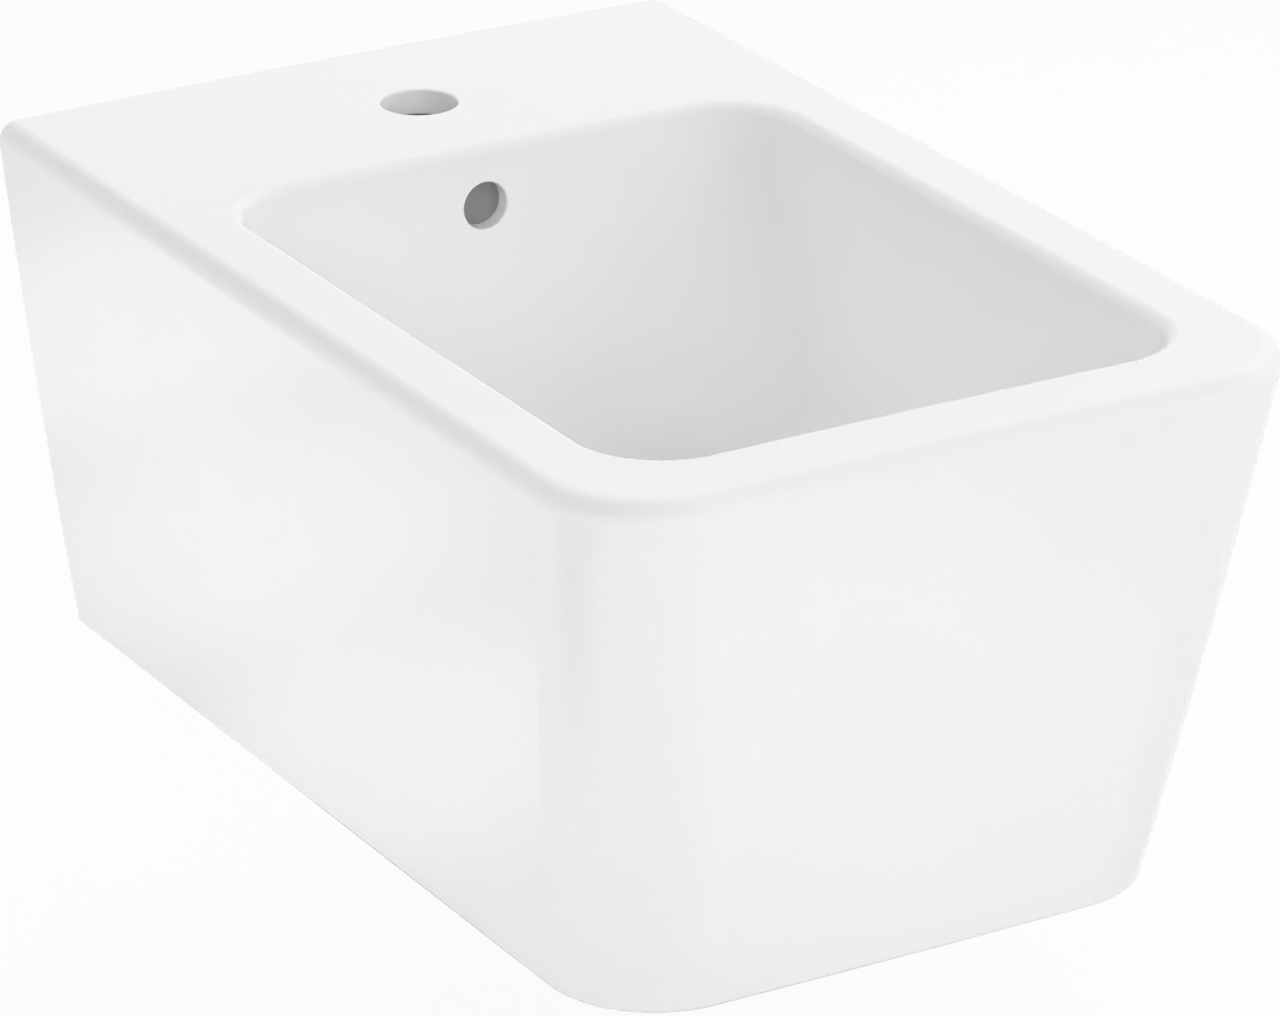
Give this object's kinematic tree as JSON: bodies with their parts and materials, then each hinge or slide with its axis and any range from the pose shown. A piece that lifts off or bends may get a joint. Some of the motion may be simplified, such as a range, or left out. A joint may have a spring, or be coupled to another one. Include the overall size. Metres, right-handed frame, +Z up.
{
  "type": "wall-hung bidet",
  "caption": "White glazed ceramic wall-hung bidet with a rounded rectangular bowl, an empty tap hole and an overflow, with push-open waste, bottle trap and wall fixings.",
  "frame": {"origin": "in the wall plane, midway between the two wall studs", "axes": "+X across to the right as seen from the front, +Y into the wall along the studs, +Z up; the front faces -Y"},
  "size_m": [0.3508, 0.5793, 0.3375],
  "materials": {
    "glaze": "gloss white glaze",
    "chrome": "polished chrome on brass",
    "brass": "turned brass",
    "rubber": "matt black rubber",
    "washer_plastic": "milky white plastic",
    "cartridge_plastic": "dark grey moulded plastic",
    "spring_steel": "drawn stainless wire",
    "trap_plastic": "moulded white plastic",
    "zinc": "bright zinc plating"
  },
  "bodies": {
    "bidet": {"ceramic_body": "glaze", "waste_body": "chrome", "waste_top_seal": "rubber", "waste_lower_seal": "rubber", "waste_slip_washer": "washer_plastic", "waste_back_nut": "brass", "click_cartridge": "cartridge_plastic", "click_spring": "spring_steel", "trap_inlet_nut": "trap_plastic", "trap_inlet_seal": "rubber", "trap_inlet_tube": "trap_plastic", "trap_tube_nut": "trap_plastic", "trap_tube_seal": "rubber", "trap_body": "trap_plastic", "trap_cup": "trap_plastic", "trap_cup_seal": "rubber", "trap_outlet_nut": "trap_plastic", "trap_outlet_seal": "rubber", "trap_outlet_pipe": "trap_plastic", "wall_rosette": "trap_plastic", "wall_studs": "zinc", "stud_sleeves": "washer_plastic", "stud_washers": "zinc", "stud_nuts": "zinc"},
    "plug": {"plug_cap": "chrome", "plug_seal": "rubber", "plug_stem": "brass"}
  },
  "joints": [
    {"name": "plug_slide", "type": "slide", "parent": "bidet", "child": "plug", "axis": [0, 0, 1], "range_m": [0, 0.009], "deforming": ["click_spring"]}
  ]
}
